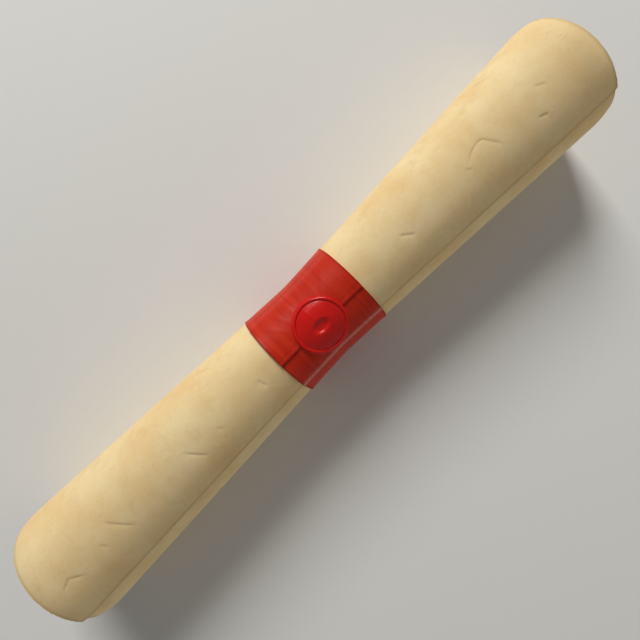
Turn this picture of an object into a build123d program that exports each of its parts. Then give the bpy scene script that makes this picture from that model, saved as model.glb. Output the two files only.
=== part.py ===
from build123d import *
import os
from math import ceil, cos, pi, radians, sin, sqrt

# Scroll of heavy paper lying along X, drawn in at its waist by a ribbon under a wax seal
# Lengths in millimetres; angles in degrees round the roll, from straight up towards -Y

# Paper roll: the outline that its outermost turn follows
roll_length = 297.0           # one side of the sheet, end to end of the roll
flare_radius = 26.6           # outside of the roll where the straight flare would meet an end
waist_radius = 19.05          # outside of the roll under the ribbon
waist_blend = 5.0             # half length of the rounding between the two flares
rim_length = 8.0              # softened rim at each end
rim_inset = 1.0               # how far the rim has bent inwards
rim_middle_share = 0.55       # way along the rim to its middle, where it lies on the surface

# Paper roll: the way the sheet is wound
paper_thickness = 0.4
turns = 2.9                   # from the free outer edge to the inner edge
tight_turns = 0.6             # part of the outer turn that still hugs the turn below
spring_power = 1.7            # how sharply the inner turns open after that
free_edge_angle = 49.0        # place of the free outer edge
waist_gap = 0.1               # air between neighbouring turns under the ribbon
end_looseness = 6.5           # how far the inner edge has sprung inwards at the ends
sag_share = 0.35              # share of that opening by which the inner turns hang down

# Paper roll: the small flat spots under its rims, on which it lies
rest_height = 25.75           # roll axis above the surface
flat_width = 9.0
flat_fade = 6.5               # length along the roll until it is round again
flat_trim = 0.05              # depth that the surface presses level

# Ribbon
ribbon_width = 44.0
ribbon_thickness = 0.35
ribbon_clearance = 0.08       # between the ribbon and what it lies on
ribbon_end_angle = 10.0       # cut edge of the upper end
ribbon_lap = 18.0             # length of the lower end under the upper one
ribbon_bridge = 4.5           # length over which the ribbon comes down from an edge below it

# Wax seal, with heights above the ribbon
seal_angle = 9.5              # direction in which the seal faces
seal_radius = 11.3
seal_clearance = 0.06         # between the wax and the ribbon
bead_width = 1.5              # raised bead round the edge
bead_height = 1.6
bead_rounding = 0.9           # where the wax has run over outwards
field_height = 1.0            # edge of the domed field, inside the bead
dome_height = 2.1             # top of the dome
dimple_length = 8.2           # hollow in the top of the dome, along the roll
dimple_width = 5.4
dimple_depth = 1.1

full_turn = 360.0
point_step_angle = 22.5       # longest step between the points of a wound outline
fewest_steps = 4              # on any stretch of it
slope_turns = 1e-4            # short way along the winding for measuring its direction

half_length = roll_length / 2
rim_start = half_length - rim_length
rim_middle = rim_start + rim_length * rim_middle_share
turn_length = 2 * pi * waist_radius
flat_turns = flat_width / 2 / (2 * pi * rest_height)
underside_turns = (free_edge_angle + full_turn / 2) / full_turn


def smooth(share):
    """Eases from 0 to 1, with level ends."""
    inside = min(max(share, 0), 1)
    return inside * inside * (3 - 2 * inside)


def reach(x):
    """How far along the flare a place is, rounded off at the waist."""
    distance = abs(x)
    if distance < waist_blend:
        return distance * distance / (2 * waist_blend)
    return distance - waist_blend / 2


def flare_share(x):
    """How far the roll has opened here, from 0 at the waist to 1 at its ends."""
    return reach(x) / reach(half_length)


def roll_radius(x):
    """Outside of the outermost turn."""
    rim_share = max(abs(x) - rim_start, 0) / rim_length
    return waist_radius + (flare_radius - waist_radius) * flare_share(x) - rim_inset * rim_share**2


def opening(x, wound):
    """How far the sheet has sprung inwards, so many turns in from its free edge."""
    loose_share = max(wound - tight_turns, 0) / (turns - tight_turns)
    return end_looseness * flare_share(x) * loose_share**spring_power


def sheet_radius(x, wound):
    """Outer face of the sheet, so many turns in from its free edge."""
    return roll_radius(x) - (paper_thickness + waist_gap) * wound - opening(x, wound)


settling = sheet_radius(rim_middle, underside_turns) - rest_height


def pressed_flat(x, wound):
    """True where the outermost turn lies on the surface."""
    return abs(x) >= rim_start and abs(wound - underside_turns) < flat_turns + 2 * slope_turns


def sheet_point(x, wound, height):
    """Place at a height above the sheet's outer face, so many turns in from its free edge."""
    angle = radians(free_edge_angle - full_turn * wound)
    radius = sheet_radius(x, wound)
    upright = radius - settling if cos(angle) < 0 else radius
    level = upright * cos(angle) - sag_share * opening(x, wound)
    if pressed_flat(x, wound):
        level = -rest_height - flat_trim
    return Vector(x, -(radius + height) * sin(angle), level + height * cos(angle))


def direction(point, wound):
    """Rate at which a wound line moves on, per turn."""
    return (point(wound + slope_turns) - point(wound - slope_turns)) / (2 * slope_turns)


def wound_curve(point, start, end):
    """Smooth stretch of a wound line, between two places given in turns."""
    steps = max(ceil(abs(end - start) * full_turn / point_step_angle), fewest_steps)
    shares = [step / steps for step in range(steps + 1)]
    ends = [direction(point, place) * (end - start) for place in (start, end)]
    points = [point(start + (end - start) * share) for share in shares]
    return Edge.make_spline(points, tangents=ends, parameters=shares, scale=False)


def even_breaks(start, end):
    """Places that part a wound line into stretches of half a turn or less."""
    parts = ceil(abs(end - start) * 2)
    return [start + (end - start) * part / parts for part in range(1, parts + 1)]


def strip_outline(outer, inner):
    """Closed outline of a strip, from the edges of its two faces."""
    first_end = Edge.make_line(inner[0] @ 0, outer[0] @ 0)
    last_end = Edge.make_line(outer[-1] @ 1, inner[-1] @ 1)
    return Wire([first_end, *outer, last_end, *reversed(inner)])


def both_ways(stations):
    """Stations on both sides of the waist, in order along X."""
    return [-x for x in reversed(stations)] + [0] + stations


# Paper roll, drawn as one wound outline at each station along X
paper_stations = both_ways([waist_blend, rim_start - flat_fade, rim_start, rim_middle, half_length])
flat_from = underside_turns - flat_turns
flat_to = underside_turns + flat_turns


def sheet_face(x, height):
    """Edges of one face of the sheet, with the flat spot as an edge of its own."""

    def point(wound):
        return sheet_point(x, wound, height)

    before = [0, *even_breaks(0, flat_from)]
    after = [flat_to, *even_breaks(flat_to, turns)]
    if pressed_flat(x, underside_turns):
        underside = Edge.make_line(point(flat_from), point(flat_to))
    else:
        underside = wound_curve(point, flat_from, flat_to)
    return (
        [wound_curve(point, a, b) for a, b in zip(before, before[1:])]
        + [underside]
        + [wound_curve(point, a, b) for a, b in zip(after, after[1:])]
    )


def paper_section(x):
    """Cut through the wound sheet."""
    return strip_outline(sheet_face(x, 0), sheet_face(x, -paper_thickness))


paper_roll = Solid.make_loft([paper_section(x) for x in paper_stations], ruled=True)
paper_roll = paper_roll.split(Plane.XY.offset(-rest_height), keep=Keep.TOP)

# Ribbon, wound from its hidden lower end over the paper's free edge to its upper end
ribbon_stations = both_ways([waist_blend, ribbon_width / 2])
bridge_turns = ribbon_bridge / turn_length
upper_end = (free_edge_angle - ribbon_end_angle) / full_turn
lower_end = upper_end + ribbon_lap / turn_length
lap_start = lower_end + bridge_turns - 1
lap_full = lower_end - 1


def ribbon_point(x, wound, height):
    """Place above the ribbon's underside; past the paper's free edge the turns count below zero."""
    lift = ribbon_clearance + height
    if wound >= 0:
        return sheet_point(x, wound, lift)
    paper_step = sheet_point(x, 0, 0) - sheet_point(x, 1, 0)
    ribbon_step = ribbon_thickness + ribbon_clearance
    lift += ribbon_step * smooth((lap_start - wound) / bridge_turns)
    return sheet_point(x, wound + 1, lift) + paper_step * (1 - smooth(-wound / bridge_turns))


def ribbon_face(x, height, start, end):
    """Edges of one face of the ribbon, parted where it climbs or comes down."""

    def point(wound):
        return ribbon_point(x, wound, height)

    breaks = [start, 0, -bridge_turns, *even_breaks(-bridge_turns, lap_start), lap_full, end]
    return [wound_curve(point, a, b) for a, b in zip(breaks, breaks[1:])]


def ribbon_section(x):
    """Cut through the wound ribbon."""
    outer = ribbon_face(x, ribbon_thickness, lower_end, upper_end - 1)
    return strip_outline(outer, ribbon_face(x, 0, lower_end, upper_end - 1))


ribbon = Solid.make_loft([ribbon_section(x) for x in ribbon_stations], ruled=True)

# Wax seal: a stamped disc that follows the round of the roll, drawn straight up before it is tilted
ribbon_top = ribbon_point(0, upper_end - 1, ribbon_thickness).length
field_radius = seal_radius - bead_width
seat_end = upper_end - seal_clearance / turn_length


def seat_section(x):
    """Outline of everything that the wax was poured on, grown by the clearance."""
    outline = ribbon_face(x, ribbon_thickness + seal_clearance, seat_end, seat_end - 1)
    return Wire([*outline, Edge.make_line(outline[-1] @ 1, outline[0] @ 0)])


def bent_level(height, aside):
    """Level of a skin that follows the ribbon at a height, so far aside from the seal's middle."""
    return sqrt((ribbon_top + height) ** 2 - aside**2)


def arc_radius(half_width, drop):
    """Radius of an arc that falls by a drop at half its width."""
    return (half_width**2 + drop**2) / (2 * drop)


def crown(half_width, width_radius, length_radius):
    """Solid rounded across and along X like a tyre, with its top at the origin."""
    side_level = sqrt(width_radius**2 - half_width**2) - width_radius
    sides = [Vector(0, y, side_level) for y in (half_width, -half_width)]
    feet = [Vector(0, y, -length_radius) for y in (-half_width, half_width)]
    outline = [
        Edge.make_three_point_arc(sides[0], Vector(0, 0, 0), sides[1]),
        Edge.make_line(sides[1], feet[0]),
        Edge.make_line(feet[0], feet[1]),
        Edge.make_line(feet[1], sides[0]),
    ]
    return revolve(Face(Wire(outline)), Axis(feet[0], (0, 1, 0)))


# Raised bead
bead_level = ribbon_top + bead_height
disc = extrude(Circle(seal_radius), bead_level) & Cylinder(bead_level, ribbon_width, rotation=(0, 90, 0))
disc_edges = [edge for edge in disc.edges() if edge.center().Z > 0 and edge.geom_type != GeomType.LINE]
bead = fillet(disc_edges, bead_rounding) - extrude(Circle(field_radius), bead_level)

# Domed field with a dimple in its top
field_reach = seal_radius - bead_width / 2
dome_top = Vector(0, 0, ribbon_top + dome_height)
side_drop = dome_top.Z - bent_level(field_height, field_radius)
dome_radii = [arc_radius(field_radius, drop) for drop in (side_drop, dome_height - field_height)]
field = extrude(Circle(field_reach), dome_top.Z) & Pos(dome_top) * crown(field_reach, *dome_radii)
dimple_radii = [arc_radius(size / 2, dimple_depth) for size in (dimple_width, dimple_length)]
dimple_bottom = dome_top - Vector(0, 0, dimple_depth)
dimple = Pos(dimple_bottom) * Rot(180, 0, 0) * crown(dimple_width / 2, *dimple_radii)
stamped = field + bead - dimple
seat = Solid.make_loft([seat_section(x) for x in ribbon_stations], ruled=True)
wax_seal = Rot(seal_angle, 0, 0) * stamped - seat

# The whole lies with the middle of its underside at the origin
outline_box = paper_roll.bounding_box()
place = Pos(-outline_box.center().X, -outline_box.center().Y, rest_height)

os.makedirs("parts", exist_ok=True)
for name, solid in {"paper_roll": paper_roll, "ribbon": ribbon, "wax_seal": wax_seal}.items():
    export_step(place * solid, f"parts/{name}.step")
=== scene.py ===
from math import cos, pi, radians, sin, tau

import bmesh
import bpy
import numpy as np
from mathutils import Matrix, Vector, noise
from mathutils.bvhtree import BVHTree


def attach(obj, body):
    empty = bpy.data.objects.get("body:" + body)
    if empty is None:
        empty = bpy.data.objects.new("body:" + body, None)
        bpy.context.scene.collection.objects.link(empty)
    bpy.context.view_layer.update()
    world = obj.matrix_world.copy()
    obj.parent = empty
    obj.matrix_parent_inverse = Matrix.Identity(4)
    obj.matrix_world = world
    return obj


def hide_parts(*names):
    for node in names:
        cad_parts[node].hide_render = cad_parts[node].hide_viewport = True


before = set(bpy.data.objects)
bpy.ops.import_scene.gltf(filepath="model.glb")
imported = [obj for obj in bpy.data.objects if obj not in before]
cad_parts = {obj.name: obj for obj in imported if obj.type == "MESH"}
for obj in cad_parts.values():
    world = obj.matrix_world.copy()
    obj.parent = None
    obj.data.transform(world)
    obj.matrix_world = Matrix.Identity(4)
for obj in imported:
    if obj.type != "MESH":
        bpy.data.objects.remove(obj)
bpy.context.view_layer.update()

# Paper scroll tied with a satin ribbon under a wax seal
# Metres throughout; angles go round the roll from straight up towards -Y

mm = 0.001
print("frame loaded:", ", ".join(sorted(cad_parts)))


def hexColour(code):  # sRGB hex to the linear colour that a socket takes
    srgb = [int(code[place:place + 2], 16) / 255 for place in (1, 3, 5)]
    return [c / 12.92 if c <= 0.04045 else ((c + 0.055) / 1.055) ** 2.4 for c in srgb] + [1.0]


def addNode(tree, kind, *inputs, **settings):
    # Inputs go to the open sockets in order: a node or socket is linked, a plain value is set,
    # None leaves the socket alone, and a dictionary names its sockets
    node = tree.nodes.new(kind)
    for setting, value in settings.items():
        setattr(node, setting, value)
    openSockets = [socket for socket in node.inputs if socket.enabled]
    wanted = []
    for place, value in enumerate(inputs):
        if isinstance(value, dict):
            named = {socket.name: socket for socket in reversed(openSockets)}
            wanted += [(named[name], inner) for name, inner in value.items()]
        else:
            wanted.append((openSockets[place], value))
    for socket, value in wanted:
        if isinstance(value, bpy.types.Node):
            value = next(output for output in value.outputs if output.enabled)
        if isinstance(value, bpy.types.NodeSocket):
            tree.links.new(value, socket)
        elif value is not None:
            socket.default_value = value
    return node


def newMaterial(name):
    material = bpy.data.materials.new(name)
    material.use_nodes = True
    tree = material.node_tree
    return material, tree, tree.nodes["Principled BSDF"]


def smooth(share):  # eases from 0 to 1
    share = np.clip(share, 0, 1)
    return share * share * (3 - 2 * share)


def plainMesh(name, points, faces, material):
    mesh = bpy.data.meshes.new(name)
    mesh.from_pydata([tuple(p) for p in points], [], faces)
    mesh.materials.append(material)
    mesh.shade_smooth()
    piece = bpy.data.objects.new(name, mesh)
    bpy.context.collection.objects.link(piece)
    return piece


def dressNode(piece, node):  # the finished piece stands for its solid
    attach(piece, "root")
    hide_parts(node)


# Materials

def makeRagPaper():
    # Heavy rag paper, mould-made and gone cream with age: dead matt, cloudy, flecked with short
    # fibres, a little browner where air and fingers reach its edges
    material, tree, shader = newMaterial("agedRagPaper")
    sheetMap = addNode(tree, "ShaderNodeUVMap", uv_map="sheetMap")
    clouds = addNode(tree, "ShaderNodeTexNoise", sheetMap, 1 / (26 * mm), 4.0, 0.6)
    blots = addNode(tree, "ShaderNodeTexNoise", sheetMap, 1 / (6 * mm), 3.0, 0.55, None, 0.4)
    # Fibres are drawn 0.5 mm wide, thicker than real ones, so that they show
    fibreMap = addNode(tree, "ShaderNodeMapping", sheetMap, {"Scale": (1 / (2.4 * mm), 1 / (0.5 * mm), 1)})
    fibres = addNode(tree, "ShaderNodeTexNoise", fibreMap, 1.0, 2.0, 0.6, None, 0.9)
    cloudShare = addNode(tree, "ShaderNodeMapRange", clouds, 0.36, 0.66, 0.0, 1.0)
    tone = addNode(tree, "ShaderNodeMix", cloudShare, hexColour("#F3DAA5"), hexColour("#EAC88E"),
                   data_type="RGBA")
    blotShare = addNode(tree, "ShaderNodeMapRange", blots, 0.52, 0.78, 0.0, 0.22)
    blotted = addNode(tree, "ShaderNodeMix", blotShare, tone, hexColour("#CFA76C"), data_type="RGBA")
    fibreShare = addNode(tree, "ShaderNodeMapRange", fibres, 0.58, 0.74, 0.0, 0.3)
    flecked = addNode(tree, "ShaderNodeMix", fibreShare, blotted, hexColour("#CDA972"), data_type="RGBA")
    edge = addNode(tree, "ShaderNodeAttribute", attribute_name="edgeDistance")
    edgeShare = addNode(tree, "ShaderNodeMapRange", edge.outputs["Fac"], 0.0, 2.2 * mm, 0.4, 0.0,
                        interpolation_type="SMOOTHSTEP")
    browned = addNode(tree, "ShaderNodeMix", edgeShare, flecked, hexColour("#B48A4E"), data_type="RGBA")
    tree.links.new(browned.outputs[2], shader.inputs["Base Color"])
    shader.inputs["Roughness"].default_value = 0.82
    shader.inputs["Specular IOR Level"].default_value = 0.3
    grain = addNode(tree, "ShaderNodeTexNoise", sheetMap, 1 / (0.9 * mm), 4.0, 0.65)
    tooth = addNode(tree, "ShaderNodeMath", fibres, 0.5, grain, operation="MULTIPLY_ADD")
    bump = addNode(tree, "ShaderNodeBump", {"Height": tooth, "Strength": 0.35, "Distance": 0.12 * mm})
    tree.links.new(bump.outputs[0], shader.inputs["Normal"])
    return material


def makeSatin():
    # Woven polyester satin: long warp floats give a soft streaky gloss along the ribbon, and a pale
    # painted highlight runs along its fold over the paper's edge
    material, tree, shader = newMaterial("satinRibbonWeave")
    ribbonMap = addNode(tree, "ShaderNodeUVMap", uv_map="ribbonMap")
    streakMap = addNode(tree, "ShaderNodeMapping", ribbonMap, {"Scale": (1 / (2.2 * mm), 1 / (30 * mm), 1)})
    streaks = addNode(tree, "ShaderNodeTexNoise", streakMap, 1.0, 2.0, 0.5, None, 0.6)
    # Threads are drawn 0.35 mm wide, thicker than real ones, so that they show
    floatMap = addNode(tree, "ShaderNodeMapping", ribbonMap, {"Scale": (1 / (0.35 * mm), 1 / (4 * mm), 1)})
    floats = addNode(tree, "ShaderNodeTexNoise", floatMap, 1.0, 1.0, 0.5)
    streakShare = addNode(tree, "ShaderNodeMapRange", streaks, 0.3, 0.7, 0.0, 1.0)
    tone = addNode(tree, "ShaderNodeMix", streakShare, hexColour("#BC230F"), hexColour("#CE3117"),
                   data_type="RGBA")
    edge = addNode(tree, "ShaderNodeAttribute", attribute_name="edgeDistance")
    edgeShare = addNode(tree, "ShaderNodeMapRange", edge.outputs["Fac"], 0.25 * mm, 0.9 * mm, 0.6, 0.0)
    edged = addNode(tree, "ShaderNodeMix", edgeShare, tone, hexColour("#8C120D"), data_type="RGBA")
    # Painted highlight: a pale line along the fold over the paper's free edge, standing in for light
    # glinting off it
    rub = addNode(tree, "ShaderNodeAttribute", attribute_name="rubbed")
    rubbedFloats = addNode(tree, "ShaderNodeMapRange", floats, 0.3, 0.7, 0.4, 0.95)
    paintedHighlightShare = addNode(tree, "ShaderNodeMapRange", rub.outputs["Fac"], 0.0, 1.0, 0.0, rubbedFloats)
    highlighted = addNode(tree, "ShaderNodeMix", paintedHighlightShare, edged, hexColour("#E2A18F"), data_type="RGBA")
    tree.links.new(highlighted.outputs[2], shader.inputs["Base Color"])
    gloss = addNode(tree, "ShaderNodeMapRange", floats, 0.3, 0.7, 0.3, 0.44)
    tree.links.new(gloss.outputs[0], shader.inputs["Roughness"])
    shader.inputs["Specular IOR Level"].default_value = 0.16
    shader.inputs["Sheen Weight"].default_value = 0.2
    shader.inputs["Sheen Roughness"].default_value = 0.35
    shader.inputs["Sheen Tint"].default_value = hexColour("#FF7A45")
    bump = addNode(tree, "ShaderNodeBump", {"Height": floats, "Strength": 0.22, "Distance": 0.05 * mm})
    tree.links.new(bump.outputs[0], shader.inputs["Normal"])
    return material


def makeWax():
    # Resin sealing wax, poured and stamped: deep red, smooth, lightly clouded, with light in its edges
    material, tree, shader = newMaterial("sealingWax")
    place = addNode(tree, "ShaderNodeTexCoord").outputs["Object"]
    clouds = addNode(tree, "ShaderNodeTexNoise", place, 1 / (5 * mm), 3.0, 0.55, None, 0.5)
    tone = addNode(tree, "ShaderNodeMix", clouds, hexColour("#C40C07"), hexColour("#DE170E"),
                   data_type="RGBA")
    tree.links.new(tone.outputs[2], shader.inputs["Base Color"])
    shader.inputs["IOR"].default_value = 1.45
    shader.inputs["Specular IOR Level"].default_value = 0.25
    shader.inputs["Subsurface Weight"].default_value = 0.12
    shader.inputs["Subsurface Radius"].default_value = (1.0, 0.2, 0.1)
    shader.inputs["Subsurface Scale"].default_value = 0.8 * mm
    haze = addNode(tree, "ShaderNodeTexNoise", place, 1 / (2.2 * mm), 3.0, 0.6)
    gloss = addNode(tree, "ShaderNodeMapRange", haze, 0.3, 0.7, 0.16, 0.28)
    tree.links.new(gloss.outputs[0], shader.inputs["Roughness"])
    bump = addNode(tree, "ShaderNodeBump", {"Height": haze, "Strength": 0.2, "Distance": 0.1 * mm})
    tree.links.new(bump.outputs[0], shader.inputs["Normal"])
    return material


ragPaper = makeRagPaper()
satin = makeSatin()
wax = makeWax()
print("materials ready")


# Paper roll: one sheet, wound inwards from its free edge, by a tree of its own

rollSizes = {
    "Length": 297 * mm,
    "Waist Radius": 19.05 * mm,
    "Flare Radius": 26.6 * mm,     # where the straight flare would meet an end
    "Waist Blend": 5 * mm,         # half length of the rounding between the flares
    "Rim Length": 8 * mm,
    "Rim Inset": 1 * mm,           # how far the rims have bent inwards
    "Turns": 2.9,
    "Tight Turns": 0.6,            # part of the outer turn that hugs the one below
    "Pitch": 0.5 * mm,             # paper and air, from turn to turn at the waist
    "Looseness": 6.5 * mm,         # how far the inner edge has sprung inwards at the ends
    "Spring Power": 1.7,
    "Sag Share": 0.35,             # share of that by which the inner turns hang down
    "Free Edge": radians(49),
    "Axis Side": -0.181 * mm,
    "Axis Height": 25.75 * mm,
    "Press": 0.1 * mm,             # depth that the table presses the underside flat
    "Unevenness": 0.26 * mm,       # soft hollows all over the roll
    "Hollow Size": 42 * mm,
    "Edge Lift": 0.4 * mm,         # the free edge stands up a little here and there
    "Edge Width": 0.05,            # in turns
    "Edge Waves": 18.0,            # to the metre
    "Skew": 0.3 * mm,              # each turn is wound this much further along
    "Raggedness": 0.25 * mm,       # mould-made edges
    "Ragged Reach": 2 * mm,        # length over which the sheet turns ragged towards its ends
    "Ragged Waves": 320.0,         # to the metre
    "Crowding": 0.5,               # closer points on the outer turn than on the inner ones
    "Points Along": 241,
    "Points Round": 275,
    "Seed": 7.0,
    "Material": ragPaper,
}


def makeRollTree(sizes):
    tree = bpy.data.node_groups.new("woundSheet", "GeometryNodeTree")
    tree.interface.new_socket("Sheet", in_out="OUTPUT", socket_type="NodeSocketGeometry")
    for name, value in sizes.items():
        kind = {int: "NodeSocketInt", float: "NodeSocketFloat"}.get(type(value), "NodeSocketMaterial")
        tree.interface.new_socket(name, in_out="INPUT", socket_type=kind)
    given = tree.nodes.new("NodeGroupInput").outputs
    math, mapRange, vector = "ShaderNodeMath", "ShaderNodeMapRange", "ShaderNodeVectorMath"
    combine = "ShaderNodeCombineXYZ"

    # A flat grid gives each point its place along the roll and its share of the winding
    grid = addNode(tree, "GeometryNodeMeshGrid", 1.0, 1.0, given["Points Along"], given["Points Round"])
    place = addNode(tree, "ShaderNodeSeparateXYZ", tree.nodes.new("GeometryNodeInputPosition"))
    along = addNode(tree, math, place.outputs["X"], given["Length"], operation="MULTIPLY")
    share = addNode(tree, math, place.outputs["Y"], 0.5, operation="ADD")
    crowded = addNode(tree, mapRange, share, 0.0, 1.0, given["Crowding"], 1.0)
    eased = addNode(tree, math, share, crowded, operation="MULTIPLY")
    wound = addNode(tree, math, eased, given["Turns"], operation="MULTIPLY")
    angle = addNode(tree, math, wound, -tau, given["Free Edge"], operation="MULTIPLY_ADD")
    sine = addNode(tree, math, angle, operation="SINE")
    cosine = addNode(tree, math, angle, operation="COSINE")

    # Hourglass outline, drawn in at its rims
    halfLength = addNode(tree, math, given["Length"], 0.5, operation="MULTIPLY")
    halfBlend = addNode(tree, math, given["Waist Blend"], 0.5, operation="MULTIPLY")
    bent = addNode(tree, vector, addNode(tree, combine, along, halfBlend), operation="LENGTH")
    fullBent = addNode(tree, vector, addNode(tree, combine, halfLength, halfBlend), operation="LENGTH")
    flare = addNode(tree, mapRange, bent.outputs["Value"], halfBlend, fullBent.outputs["Value"], 0.0, 1.0)
    outline = addNode(tree, mapRange, flare, 0.0, 1.0, given["Waist Radius"], given["Flare Radius"])
    away = addNode(tree, math, along, operation="ABSOLUTE")
    rimStart = addNode(tree, math, halfLength, given["Rim Length"], operation="SUBTRACT")
    rimShare = addNode(tree, mapRange, away, rimStart, halfLength, 0.0, 1.0)
    rimBend = addNode(tree, math, rimShare, 2.0, operation="POWER")
    rimmed = addNode(tree, math, addNode(tree, math, rimBend, -1.0, operation="MULTIPLY"),
                     given["Rim Inset"], outline, operation="MULTIPLY_ADD")

    # Turns, tight at first and then sprung open towards the inner edge
    loose = addNode(tree, mapRange, wound, given["Tight Turns"], given["Turns"], 0.0, 1.0)
    sprung = addNode(tree, math, loose, given["Spring Power"], operation="POWER")
    flared = addNode(tree, math, sprung, flare, operation="MULTIPLY")
    opening = addNode(tree, math, flared, given["Looseness"], operation="MULTIPLY")
    stacked = addNode(tree, math, wound, given["Pitch"], opening, operation="MULTIPLY_ADD")
    tidy = addNode(tree, math, rimmed, stacked, operation="SUBTRACT")

    # Soft hollows, the same in all turns, and the free edge standing up
    rollPlace = addNode(tree, combine, along,
                        addNode(tree, math, sine, given["Flare Radius"], operation="MULTIPLY"),
                        addNode(tree, math, cosine, given["Flare Radius"], operation="MULTIPLY"))
    hollowScale = addNode(tree, math, 1.0, given["Hollow Size"], operation="DIVIDE")
    hollows = addNode(tree, "ShaderNodeTexNoise", rollPlace, given["Seed"], hollowScale, 2.0, 0.62,
                      noise_dimensions="4D")
    hollow = addNode(tree, mapRange, hollows, 0.0, 1.0, -1.0, 1.0)
    hollowFade = addNode(tree, math, hollow, flare, operation="MULTIPLY")
    uneven = addNode(tree, math, hollowFade, given["Unevenness"], tidy, operation="MULTIPLY_ADD")
    edgeShare = addNode(tree, mapRange, wound, 0.0, given["Edge Width"], 1.0, 0.0,
                        interpolation_type="SMOOTHSTEP")
    edgeNoise = addNode(tree, "ShaderNodeTexNoise", rollPlace, given["Seed"], given["Edge Waves"], 1.0, 0.5,
                        noise_dimensions="4D")
    edgeRise = addNode(tree, mapRange, edgeNoise, 0.35, 0.7, 0.0, 1.0)
    lifted = addNode(tree, math, addNode(tree, math, edgeShare, edgeRise, operation="MULTIPLY"), flare,
                     operation="MULTIPLY")
    radius = addNode(tree, math, lifted, given["Edge Lift"], uneven, operation="MULTIPLY_ADD")

    # Place in the frame: the inner turns hang down, and the underside lies flat on the table
    sag = addNode(tree, math, opening, given["Sag Share"], operation="MULTIPLY")
    upright = addNode(tree, math, radius, cosine, given["Axis Height"], operation="MULTIPLY_ADD")
    settled = addNode(tree, math, addNode(tree, math, upright, sag, operation="SUBTRACT"), given["Press"],
                      operation="SUBTRACT")
    height = addNode(tree, math, settled, 0.0, operation="MAXIMUM")
    side = addNode(tree, math, addNode(tree, math, radius, -1.0, operation="MULTIPLY"), sine,
                   given["Axis Side"], operation="MULTIPLY_ADD")
    raggedStart = addNode(tree, math, halfLength, given["Ragged Reach"], operation="SUBTRACT")
    atEnd = addNode(tree, mapRange, away, raggedStart, halfLength, 0.0, 1.0,
                    interpolation_type="SMOOTHSTEP")
    raggedNoise = addNode(tree, "ShaderNodeTexNoise", rollPlace, wound, given["Ragged Waves"], 3.0, 0.6,
                          noise_dimensions="4D")
    ragged = addNode(tree, mapRange, raggedNoise, 0.25, 0.75, -1.0, 1.0)
    skewed = addNode(tree, math, wound, given["Skew"], along, operation="MULTIPLY_ADD")
    endwise = addNode(tree, math, addNode(tree, math, ragged, atEnd, operation="MULTIPLY"),
                      given["Raggedness"], skewed, operation="MULTIPLY_ADD")

    # Each point keeps its place on the flat sheet
    kept = grid.outputs["Mesh"]
    for name, value in (("along", along), ("wound", wound)):
        kept = addNode(tree, "GeometryNodeStoreNamedAttribute", kept, {"Name": name, "Value": value},
                       data_type="FLOAT", domain="POINT")
    wrapped = addNode(tree, "GeometryNodeSetPosition", kept,
                      {"Position": addNode(tree, combine, endwise, side, height)})
    softened = addNode(tree, "GeometryNodeSetShadeSmooth", wrapped)
    whole = addNode(tree, "GeometryNodeRealizeInstances", softened)
    painted = addNode(tree, "GeometryNodeSetMaterial", whole, {"Material": given["Material"]})
    addNode(tree, "NodeGroupOutput", painted)
    return tree


def settleMesh(piece):  # modifiers become plain mesh
    shown = piece.evaluated_get(bpy.context.evaluated_depsgraph_get())
    mesh = bpy.data.meshes.new_from_object(shown)
    piece.modifiers.clear()
    piece.data = mesh
    mesh.name = piece.name


def growFromTree(name, tree, sizes):
    piece = bpy.data.objects.new(name, bpy.data.meshes.new(name))
    bpy.context.collection.objects.link(piece)
    modifier = piece.modifiers.new("shape", "NODES")
    modifier.node_group = tree
    for socket in tree.interface.items_tree:
        if socket.in_out == "INPUT":
            modifier[socket.identifier] = sizes[socket.name]
    settleMesh(piece)
    return piece


def readPoints(mesh):
    flat = np.empty(len(mesh.vertices) * 3)
    mesh.vertices.foreach_get("co", flat)
    return flat.reshape(-1, 3)


def gridNormals(points):  # outward directions of a grid of points, along by round
    along = np.gradient(points, axis=0)
    roundabout = np.gradient(points, axis=1)
    normal = np.cross(along, roundabout)
    return normal / np.linalg.norm(normal, axis=2, keepdims=True)


# Handling creases: places in mm along the roll and degrees round it, and depth in mm
creases = [
    {"line": [(81, 1), (84.5, -4), (87.5, -8), (91, -10), (93, -8.5), (98.5, 13)], "depth": 0.34},
    {"line": [(45, -1), (51, 12)], "depth": 0.32},
    {"line": [(119.5, -9.5), (124.5, -2)], "depth": 0.26},
    {"line": [(113, 13), (118, 17.5)], "depth": 0.3},
    {"line": [(80, -1), (83, 6)], "depth": 0.2},
    {"line": [(-32.5, 1), (-31, 16)], "depth": 0.3},
    {"line": [(-56.5, 6), (-54, 14)], "depth": 0.2},
    {"line": [(-72, 0), (-65, 23)], "depth": 0.34},
    {"line": [(-111, -7), (-102.5, 19)], "depth": 0.34},
    {"line": [(-118, 5), (-115, 14)], "depth": 0.2},
    {"line": [(-140, 14), (-134, 8), (-128, 17)], "depth": 0.32},
    {"line": [(105, 46), (108.5, 29)], "depth": 0.22},
    {"line": [(64, 62), (74, 74), (86, 70)], "depth": 0.34},
    {"line": [(-92, 84), (-80, 72)], "depth": 0.34},
    {"line": [(-52, -62), (-43, -50)], "depth": 0.32},
    {"line": [(108, -66), (116, -52), (127, -58)], "depth": 0.34},
    {"line": [(-118, -78), (-104, -90)], "depth": 0.34},
    {"line": [(70, 150), (82, 162)], "depth": 0.34},
    {"line": [(-66, -140), (-55, -128), (-46, -133)], "depth": 0.34},
]
paperSizes = {
    "thickness": 0.4 * mm,
    "hiddenStep": 2,              # its inner face keeps one point in so many
    "creaseDrop": 0.3 * mm,       # length over which the sheet falls into a crease
    "creaseRise": 1.3 * mm,       # and over which it comes up again beyond it
    "creaseFade": 0.3,            # share of its length over which a crease sets in or runs out
    "creaseMargin": 2.4 * mm,     # finer faces this far to both sides of a crease
    "creaseCuts": 2,
}
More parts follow.
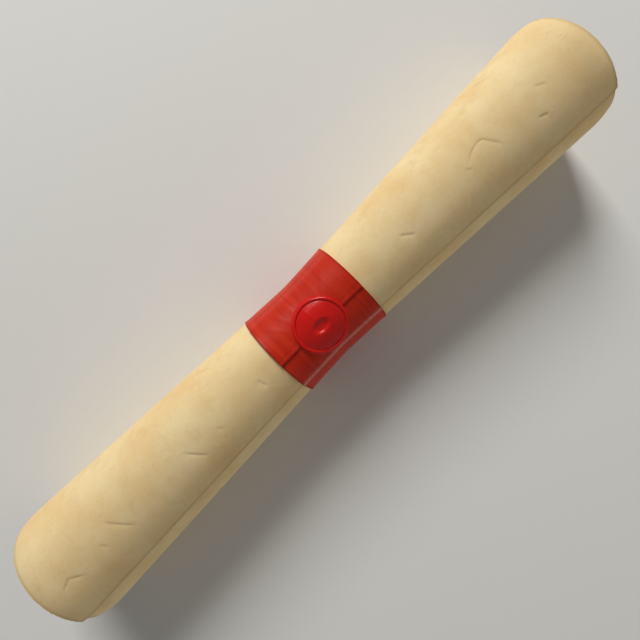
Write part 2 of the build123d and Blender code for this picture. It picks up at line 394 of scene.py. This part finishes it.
crispAngle = radians(50)          # edges that turn by more than this stay crisp


def creasePlaces(along, degrees, radius):
    # Height of the creases, below zero, at each place on the outer turn, and how far the nearest one is
    fadeShare = paperSizes["creaseFade"]
    heights = np.zeros_like(along)
    distances = np.ones_like(along)
    for crease in creases:
        nearest = np.ones_like(along)
        height = np.zeros_like(along)
        line = [np.array((x * mm, radians(turn) * radius)) for x, turn in crease["line"]]
        firstTurn = crease["line"][0][1]
        across = (degrees - firstTurn + 180) % 360 - 180 + firstTurn
        places = np.stack([along, np.radians(across) * radius], axis=-1)
        whole = sum(np.linalg.norm(b - a) for a, b in zip(line, line[1:]))
        done = 0.0
        for a, b in zip(line, line[1:]):
            length = np.linalg.norm(b - a)
            ahead = (b - a) / length
            run = np.clip((places - a) @ ahead, 0, length)
            offset = places - a - run[..., None] * ahead
            distance = np.linalg.norm(offset, axis=-1)
            signed = np.sign(offset @ np.array((-ahead[1], ahead[0]))) * distance
            wall = np.where(signed > 0, paperSizes["creaseRise"], paperSizes["creaseDrop"])
            fold = -np.exp(-distance / wall)
            shareDone = (done + run) / whole
            fade = smooth(shareDone / fadeShare) * smooth((1 - shareDone) / fadeShare)
            height = np.where(distance < nearest, fold * fade * crease["depth"] * mm, height)
            nearest = np.minimum(nearest, distance)
            done += length
        heights += height
        distances = np.minimum(distances, nearest)
    outerTurn = degrees > np.degrees(rollSizes["Free Edge"]) - 360
    return np.where(outerTurn, heights, 0), np.where(outerTurn, distances, 1)


def creaseSheet(piece, outerPoints, radius):
    # Parts the outer face finely along each crease, then presses the crease in
    shell = bmesh.new()
    shell.from_mesh(piece.data)
    layers = [shell.verts.layers.float[name] for name in ("along", "degrees")]
    allPoints = len(shell.verts)

    def measure(spots):
        return creasePlaces(*(np.array([spot[layer] for spot in spots]) for layer in layers), radius)

    distances = measure(shell.verts)[1]
    edges = set()
    for face in shell.faces:
        indices = [spot.index for spot in face.verts]
        if max(indices) < outerPoints and min(distances[indices]) < paperSizes["creaseMargin"]:
            edges.update(face.edges)
    ordered = sorted(edges, key=lambda edge: edge.index)
    bmesh.ops.subdivide_edges(shell, edges=ordered, cuts=paperSizes["creaseCuts"], use_grid_fill=True)
    shell.verts.index_update()
    shell.normal_update()
    outer = [spot for spot in shell.verts if spot.index < outerPoints or spot.index >= allPoints]
    moves = [spot.normal * height for spot, height in zip(outer, measure(outer)[0].tolist())]
    for spot, move in zip(outer, moves):
        spot.co += move
    shell.to_mesh(piece.data)
    shell.free()


def closedStrip(name, upper, under, thin, material):
    # Both faces of a strip and the wall round it; the face out of sight keeps one point in so many
    columns, rows = upper.shape[0] - 1, upper.shape[1] - 1
    high = np.arange(upper.shape[0] * upper.shape[1]).reshape(upper.shape[:2])
    hidden = under[::thin, ::thin]
    low = high.size + np.arange(hidden.shape[0] * hidden.shape[1]).reshape(hidden.shape[:2])
    faces = []
    for grid in (high, low[:, ::-1]):
        quads = np.stack([grid[:-1, :-1], grid[1:, :-1], grid[1:, 1:], grid[:-1, 1:]], -1)
        faces += quads.reshape(-1, 4).tolist()
    border = ([(i, 0) for i in range(columns)] + [(columns, j) for j in range(rows)]
              + [(i, rows) for i in range(columns, 0, -1)] + [(0, j) for j in range(rows, 0, -1)])
    for first in range(0, len(border), thin):
        stretch = [border[(first + step) % len(border)] for step in range(thin + 1)]
        wall = [int(high[spot]) for spot in reversed(stretch)]
        wall += [int(low[i // thin, j // thin]) for i, j in (stretch[0], stretch[-1])]
        faces.append(wall)
    piece = plainMesh(name, np.concatenate([upper.reshape(-1, 3), hidden.reshape(-1, 3)]), faces, material)
    piece.data.set_sharp_from_angle(angle=crispAngle)
    return piece


def keepPlaces(piece, thin, mapName, across, lengthwise, **values):
    # Each corner's place on the flat strip, and named values at each point
    def forAll(grid):
        return np.concatenate([grid.ravel(), grid[::thin, ::thin].ravel()])

    corners = np.empty(len(piece.data.loops), int)
    piece.data.loops.foreach_get("vertex_index", corners)
    places = np.stack([forAll(across), forAll(lengthwise)], -1)[corners]
    piece.data.uv_layers.new(name=mapName).uv.foreach_set("vector", places.ravel())
    for name, grid in values.items():
        piece.data.attributes.new(name, "FLOAT", "POINT").data.foreach_set("value", forAll(grid))


def turnOutwards(piece):
    shell = bmesh.new()
    shell.from_mesh(piece.data)
    bmesh.ops.recalc_face_normals(shell, faces=shell.faces)
    shell.to_mesh(piece.data)
    shell.free()


def readValues(mesh, name, shape):
    values = np.empty(len(mesh.vertices))
    mesh.attributes[name].data.foreach_get("value", values)
    return values.reshape(shape)


woundSheet = growFromTree("woundSheet", makeRollTree(rollSizes), rollSizes)
sheetShape = (rollSizes["Points Along"], rollSizes["Points Round"])
sheet = readPoints(woundSheet.data).reshape(*sheetShape, 3)
sheetAlong = readValues(woundSheet.data, "along", sheetShape)
sheetWound = readValues(woundSheet.data, "wound", sheetShape)
bpy.data.objects.remove(woundSheet)
sheetDegrees = np.degrees(rollSizes["Free Edge"]) - 360 * sheetWound
meanRadius = (rollSizes["Waist Radius"] + rollSizes["Flare Radius"]) / 2
sheetNormals = gridNormals(sheet)
innerFace = sheet - sheetNormals * paperSizes["thickness"]
paperRoll = closedStrip("paperRoll", sheet, innerFace, paperSizes["hiddenStep"], ragPaper)
fromEnds = rollSizes["Length"] / 2 - np.abs(sheetAlong)
fromFreeEdge = sheetWound * tau * meanRadius
fromInnerEdge = (rollSizes["Turns"] - sheetWound) * tau * meanRadius
fromEdges = np.minimum(np.minimum(fromEnds, fromFreeEdge), fromInnerEdge)
keepPlaces(paperRoll, paperSizes["hiddenStep"], "sheetMap", sheetAlong, fromFreeEdge,
           edgeDistance=fromEdges, along=sheetAlong, degrees=sheetDegrees)
creaseSheet(paperRoll, sheetAlong.size, meanRadius)
dressNode(paperRoll, "paper_roll")
print("paper roll wound:", len(paperRoll.data.polygons), "faces")


# Ribbon: a strip of satin laid on the paper, from its hidden end over the free edge to its upper end

ribbonSizes = {
    "width": 44 * mm,
    "thickness": 0.35 * mm,
    "clearance": 0.08 * mm,
    "endAngle": 10,               # cut edge of the upper end, in degrees
    "lap": 18 * mm,               # length of the lower end under the upper one
    "bridge": 4.5 * mm,           # length over which it comes down from an edge below it
    "pointsAcross": 90,
    "pointsAlong": 260,
    "hiddenStep": 1,              # its under face keeps every point
    "selvedge": 0.8 * mm,         # thicker woven edge
    "selvedgeRise": 0.1 * mm,
    "hem": 1.3 * mm,              # groove behind the fused bead of the cut end
    "hemRise": 0.18 * mm,
    "hemBead": 0.45 * mm,         # half width of the bead
    "hemGroove": 0.4 * mm,        # half width of the groove
    "hemGrooveShare": 0.7,        # depth of the groove, as a share of the bead's height
    "ridge": 0.24 * mm,           # the paper's free edge shows through as a ridge
    "ridgeWidth": 0.7 * mm,
    "rub": 0.85 * mm,             # half width of the painted highlight along that ridge
    "edgeCurl": 0.16 * mm,
    "curlWidth": 5 * mm,
    "curlSize": (125 * mm, 14 * mm),  # of its waves, along the roll and along the ribbon
    "wrinkle": 0.16 * mm,
    "wrinkleLength": 40 * mm,
    "wrinkleCount": 7,            # to the radian of the fan
    "fanOrigin": 6 * mm,          # the slack fans out from this far beyond the cut end
    "slackStart": 9 * mm,         # distances from the middle of the cut end
    "slackGrowth": 6 * mm,
    "slackEnd": 48 * mm,
    "slackFade": 30 * mm,
    "seed": 3.7,
}


def sampleSheet(grid, x, wound):  # values of the wound sheet at places along and round it
    column = (x / rollSizes["Length"] + 0.5) * (sheetShape[0] - 1)
    row = np.interp(wound, sheetWound[0], np.arange(sheetShape[1]))
    left = np.clip(np.floor(column).astype(int), 0, sheetShape[0] - 2)
    below = np.clip(np.floor(row).astype(int), 0, sheetShape[1] - 2)
    s, t = (column - left)[..., None], (row - below)[..., None]
    return ((grid[left, below] * (1 - s) + grid[left + 1, below] * s) * (1 - t)
            + (grid[left, below + 1] * (1 - s) + grid[left + 1, below + 1] * s) * t)


def softNoise(*places):  # smooth noise from -1 to 1 over arrays of places
    places = np.broadcast_arrays(*places)
    values = [noise.noise(spot) for spot in zip(*(p.ravel() for p in places))]
    return np.array(values).reshape(places[0].shape)


def makeRibbon(size):
    turnLength = tau * rollSizes["Waist Radius"]
    bridge = size["bridge"] / turnLength
    upperEnd = (np.degrees(rollSizes["Free Edge"]) - size["endAngle"]) / 360
    lowerEnd = upperEnd + size["lap"] / turnLength
    x = np.linspace(-0.5, 0.5, size["pointsAcross"])[:, None] * size["width"]
    wound = np.linspace(lowerEnd, upperEnd - 1, size["pointsAlong"])[None, :]
    x, wound = np.broadcast_arrays(x, wound)
    over = wound < 0                       # past the paper's free edge
    below = np.where(over, wound + 1, wound)
    base = sampleSheet(sheet, x, below)
    normal = sampleSheet(sheetNormals, x, below)
    normal /= np.linalg.norm(normal, axis=2, keepdims=True)
    step = sampleSheet(sheet, x, np.zeros_like(x)) - sampleSheet(sheet, x, np.ones_like(x))
    taut = np.clip(1 + wound / bridge, 0, 1) ** 2  # it comes off the edge straight, with a crisp fold
    base = base + np.where(over, taut, 0)[..., None] * step
    lapRise = smooth((lowerEnd + bridge - 1 - wound) / bridge)
    lift = size["clearance"] + (size["thickness"] + size["clearance"]) * lapRise
    lift = lift + size["ridge"] * np.exp(-np.square(wound * turnLength / size["ridgeWidth"]))
    travel = (lowerEnd - wound) * turnLength
    toEdge = size["width"] / 2 - np.abs(x)
    toEnd = (wound - (upperEnd - 1)) * turnLength
    # The long edges curl up here and there, but not under the lap, and slack fans out from the seal
    free = 1 - smooth(1 + (wound - upperEnd) / bridge)
    curl = softNoise(x / size["curlSize"][0], travel / size["curlSize"][1], size["seed"])
    lift = lift + size["edgeCurl"] * free * smooth(1 - toEdge / size["curlWidth"]) * (0.5 + 0.5 * curl)
    fan = np.arctan2(x, toEnd + size["fanOrigin"])
    ripple = softNoise(fan * size["wrinkleCount"], travel / size["wrinkleLength"], size["seed"] + 5)
    reach = np.hypot(x, toEnd)
    slackIn = smooth((reach - size["slackStart"]) / size["slackGrowth"])
    slackOut = smooth((size["slackEnd"] - reach) / size["slackFade"])
    lift = lift + size["wrinkle"] * (slackIn * slackOut) * np.maximum(ripple, 0) * lapRise
    # The selvedge thins out between half and one and a half times its width from the edge
    thick = size["thickness"] + size["selvedgeRise"] * free * smooth(1.5 - toEdge / size["selvedge"])
    bead = np.exp(-(toEnd / size["hemBead"]) ** 2)
    groove = np.exp(-((toEnd - size["hem"]) / size["hemGroove"]) ** 2)
    thick = thick + size["hemRise"] * (bead - size["hemGrooveShare"] * groove)
    under = base + normal * lift[..., None]
    upper = under + normal * thick[..., None]
    piece = closedStrip("satinRibbon", upper, under, size["hiddenStep"], satin)
    toAnyEdge = np.minimum(toEdge, np.minimum(toEnd, travel))
    # Painted highlight: a pale line along the fold over the paper's free edge
    rubbed = np.exp(-np.square(wound * turnLength / size["rub"]))
    keepPlaces(piece, size["hiddenStep"], "ribbonMap", x, travel, edgeDistance=toAnyEdge, rubbed=rubbed)
    turnOutwards(piece)
    return piece, upper, float(travel.max())


ribbon, ribbonTop, ribbonLength = makeRibbon(ribbonSizes)
dressNode(ribbon, "ribbon")
print("ribbon laid:", round(ribbonLength / mm), "mm long")


# Wax seal: a stamped disc of wax that follows the round of the roll

sealSizes = {
    "faces": 9.5,                 # direction that it faces, in degrees
    "radius": 11.3 * mm,
    "clearance": 0.06 * mm,
    "beadHeight": 1.6 * mm,       # heights are above the ribbon
    "bead": 0.75 * mm,            # radius of the raised bead's section
    "fieldHeight": 1.0 * mm,
    "domeHeight": 2.1 * mm,
    "dimple": (4.5 * mm, 3.0 * mm),  # half its length along the roll and half its width
    "dimpleDepth": 1.1 * mm,
    "dimpleFloor": 0.35,          # share of the dimple that is its flat floor
    "fold": 0.09 * mm,            # faint crease from the dimple to the upper side
    "foldAside": 0.6 * mm,
    "foldWidth": 0.8 * mm,
    "foldStart": 3 * mm,          # distance from the middle at which it sets in
    "foldGrowth": 2.5 * mm,
    "undercut": 0.15,             # how far the bead rolls under, in radians
    "spread": 0.3 * mm,           # the foot runs out on the ribbon
    "spreadMean": 0.7,            # share of that on average
    "spreadSwing": 0.6,           # and how much it varies round the seal
    "spreadWaves": 1.3,           # a larger number gives more waves round the seal
    "footSteps": (0.25, 0.5, 0.75, 0.92, 1.0),  # shares of the way down the wall
    "footPower": 4,               # how late the wall turns outwards into the foot
    "edgeThickness": 0.06 * mm,   # least thickness of the wax at its edge
    "seatRow": -4,                # row of the ribbon's points, close to its cut end, under the middle
    "seatReach": 0.5 * mm,        # the underside clears the ribbon's cut end by this much
    "seatTries": 7,
    "seatShares": (0.97, 0.03),   # outermost and innermost ring of the underside, by radius
    "castHeight": 20 * mm,        # the ribbon is felt for from this far above it
    "waver": 0.14 * mm,           # hand-poured unevenness
    "waverWaves": 1.6,
    "planWaver": 0.6,             # share of it in the seal's outline
    "lump": 0.5,                  # share of it in the field
    "lumpSize": 6 * mm,
    "lumpWaves": 2.5,
    "pointsRound": 192,
    "fieldRings": 45,
    "beadRings": 18,
    "seatRings": 32,
    "seed": 11.3,
}


def stampedHeight(size, x, y):  # field with its dome, dimple and crease
    field = size["radius"] - 2 * size["bead"]
    fall = (size["domeHeight"] - size["fieldHeight"]) * np.square(np.hypot(x, y) / field)
    fromMiddle = np.hypot(x / size["dimple"][0], y / size["dimple"][1])
    hollow = size["dimpleDepth"] * smooth((1 - fromMiddle) / (1 - size["dimpleFloor"]))
    crest = np.exp(-np.abs(x + size["foldAside"]) / size["foldWidth"])
    fold = size["fold"] * crest * smooth((-y - size["foldStart"]) / size["foldGrowth"])
    return size["domeHeight"] - fall - hollow + fold


def makeSeal(size):
    turn = radians(size["faces"])
    facing = np.array((0, -sin(turn), cos(turn)))
    downhill = np.array((0, -cos(turn), -sin(turn)))
    lengthwise = np.array((1.0, 0, 0))
    axis = np.array((0, rollSizes["Axis Side"], rollSizes["Axis Height"]))
    middle = ribbonTop[ribbonTop.shape[0] // 2, size["seatRow"]]
    base = float((middle - axis) @ facing)
    around = np.linspace(0, tau, size["pointsRound"], endpoint=False)
    seat = BVHTree.FromObject(ribbon, bpy.context.evaluated_depsgraph_get())

    def roundNoise(waves, level):  # smooth noise round the seal
        return softNoise(np.cos(around) * waves, np.sin(around) * waves, level)

    def flat(r):  # places of a ring, along the roll and downhill
        return r * np.cos(around), r * np.sin(around)

    def ring(r, level):
        x, y = flat(r)
        return axis + np.outer(x, lengthwise) + np.outer(y, downhill) + np.outer(level, facing)

    def bent(r, height):  # level of a ring that follows the round at a height above the ribbon
        return np.sqrt((base + height) ** 2 - np.square(flat(r)[1]))

    def seatLevel(r):  # lies on the highest spot close by
        y = flat(r)[1]
        highest = np.zeros_like(around)
        for shift in np.linspace(-size["seatReach"], size["seatReach"], size["seatTries"]):
            starts = ring(r, np.full_like(around, base + size["castHeight"])) + shift * downhill
            hits = [seat.ray_cast(Vector(start), Vector(-facing))[0] for start in starts]
            level = (np.array(hits) - axis) @ facing
            highest = np.maximum(highest, np.hypot(level, y + shift))
        return np.sqrt(np.square(highest + size["clearance"]) - np.square(y))

    bead, outer = size["bead"], size["radius"]
    field = outer - 2 * bead
    rough = size["waver"] * roundNoise(size["waverWaves"], size["seed"])
    rings = []
    for r in np.linspace(0, field, size["fieldRings"])[1:]:
        lump = size["lump"] * roundNoise(size["lumpWaves"], r / size["lumpSize"] + size["seed"] + 4)
        uneven = (rough + size["waver"] * lump) * r / outer
        rings.append(ring(r, bent(r, stampedHeight(size, *flat(r)) + uneven)))
    edgeLevel = seatLevel(outer) + size["edgeThickness"]
    start = np.arcsin((size["fieldHeight"] - size["beadHeight"] + bead) / bead)
    for roll in np.linspace(pi - start, -size["undercut"], size["beadRings"])[1:]:
        r = outer - bead + bead * cos(roll) + size["planWaver"] * rough
        level = np.maximum(bent(r, size["beadHeight"] - bead + bead * sin(roll) + rough), edgeLevel)
        rings.append(ring(r, level))
    # The wall runs out into a thin foot, and the underside lies on the ribbon
    swing = size["spreadSwing"] * roundNoise(size["spreadWaves"], size["seed"] + 9)
    footRadius = outer + size["spread"] * (size["spreadMean"] + swing)
    footLevel = seatLevel(footRadius)
    for step in size["footSteps"]:
        outwards = step ** size["footPower"]
        rings.append(ring(r + (footRadius - r) * outwards, level + (footLevel - level) * step))
    for share in np.linspace(*size["seatShares"], size["seatRings"]):
        rings.append(ring(share * outer, seatLevel(share * outer)))
    top = axis + facing * (base + stampedHeight(size, 0, 0))
    bottom = ring(0, seatLevel(0))[0]
    points = np.concatenate([[top], *rings, [bottom]])
    count, bands = len(around), len(rings)
    faces = []
    for spot in range(count):
        after = (spot + 1) % count
        faces.append((0, 1 + after, 1 + spot))
        for band in range(bands - 1):
            first = 1 + band * count
            faces.append((first + spot, first + after, first + count + after, first + count + spot))
        last = 1 + (bands - 1) * count
        faces.append((last + spot, last + after, len(points) - 1))
    piece = plainMesh("waxSeal", points, faces, wax)
    turnOutwards(piece)
    return piece


seal = makeSeal(sealSizes)
dressNode(seal, "wax_seal")
print("seal poured:", len(seal.data.polygons), "faces")


# Stage: pale floor, soft light from the upper left of the view, camera straight above

stageSizes = {
    "floor": 12.0,
    "floorDrop": 0.02 * mm,
    "floorFade": (0.25, 0.8),     # where the floor runs into the backdrop
    "key": {"at": (0.75, 1.5, 1.13), "size": 0.8, "watts": 34, "shines": True},
    "fill": {"at": (-0.3, -1.6, 0.3), "size": 0.9, "watts": 3.6, "shines": False},  # gives no highlight
    "sky": 0.15,
    "lens": 25.6,                 # in millimetres, like the sensor's width
    "sensor": 36,
    "clipStart": 10 * mm,
    "overAxis": 195.5 * mm,       # camera's height above the middle of the roll
    "aside": (1.2 * mm, -1.46 * mm),
    "turn": radians(-45),
}
floorColour = hexColour("#EFEDE7")
backdropColour = hexColour("#C8C6C1")

floorMaterial, floorTree, floorShader = newMaterial("paleFloorPaint")
floorShader.inputs["Base Color"].default_value = floorColour
floorShader.inputs["Roughness"].default_value = 0.9
floorPlace = addNode(floorTree, "ShaderNodeTexCoord").outputs["Object"]
floorReach = addNode(floorTree, "ShaderNodeVectorMath", floorPlace, operation="LENGTH")
floorFade = addNode(floorTree, "ShaderNodeMapRange", floorReach.outputs["Value"],
                    *stageSizes["floorFade"], 0.0, 1.0, interpolation_type="SMOOTHSTEP")
backdrop = addNode(floorTree, "ShaderNodeEmission", backdropColour, 1.0)
fadedFloor = addNode(floorTree, "ShaderNodeMixShader", floorFade, floorShader, backdrop)
floorTree.links.new(fadedFloor.outputs[0], floorTree.nodes["Material Output"].inputs["Surface"])
half = stageSizes["floor"] / 2
square = ((-half, -half), (half, -half), (half, half), (-half, half))
corners = [(x, y, -stageSizes["floorDrop"]) for x, y in square]
floor = plainMesh("floor", corners, [(0, 1, 2, 3)], floorMaterial)

for name in ("key", "fill"):
    values = stageSizes[name]
    lamp = bpy.data.lights.new(name, "AREA")
    lamp.size = values["size"]
    lamp.energy = values["watts"]
    holder = bpy.data.objects.new(name, lamp)
    holder.location = values["at"]
    holder.visible_glossy = values["shines"]
    holder.rotation_euler = (-Vector(values["at"])).to_track_quat("-Z", "Y").to_euler()
    bpy.context.collection.objects.link(holder)

world = bpy.data.worlds.new("studio")
bpy.context.scene.world = world
world.use_nodes = True
skyTree = world.node_tree
skyLight = skyTree.nodes["Background"]
skyLight.inputs["Color"].default_value = hexColour("#FFFFFF")
skyLight.inputs["Strength"].default_value = stageSizes["sky"]
seenSky = addNode(skyTree, "ShaderNodeBackground", backdropColour, 1.0)
rays = addNode(skyTree, "ShaderNodeLightPath").outputs
mirrored = addNode(skyTree, "ShaderNodeMath", rays["Is Glossy Ray"], rays["Is Transmission Ray"],
                   operation="ADD")
seen = addNode(skyTree, "ShaderNodeMath", rays["Is Camera Ray"], mirrored, operation="ADD", use_clamp=True)
mixedSky = addNode(skyTree, "ShaderNodeMixShader", seen, skyLight, seenSky)
skyTree.links.new(mixedSky.outputs[0], skyTree.nodes["World Output"].inputs["Surface"])

lens = bpy.data.cameras.new("camera")
lens.lens = stageSizes["lens"]
lens.sensor_width = stageSizes["sensor"]
lens.clip_start = stageSizes["clipStart"]
camera = bpy.data.objects.new("camera", lens)
camera.location = (stageSizes["aside"][0], rollSizes["Axis Side"] + stageSizes["aside"][1],
                   rollSizes["Axis Height"] + stageSizes["overAxis"])
camera.rotation_euler = (0, 0, stageSizes["turn"])
bpy.context.collection.objects.link(camera)
bpy.context.scene.camera = camera
bpy.context.scene.view_settings.view_transform = "Standard"
print("stage set")
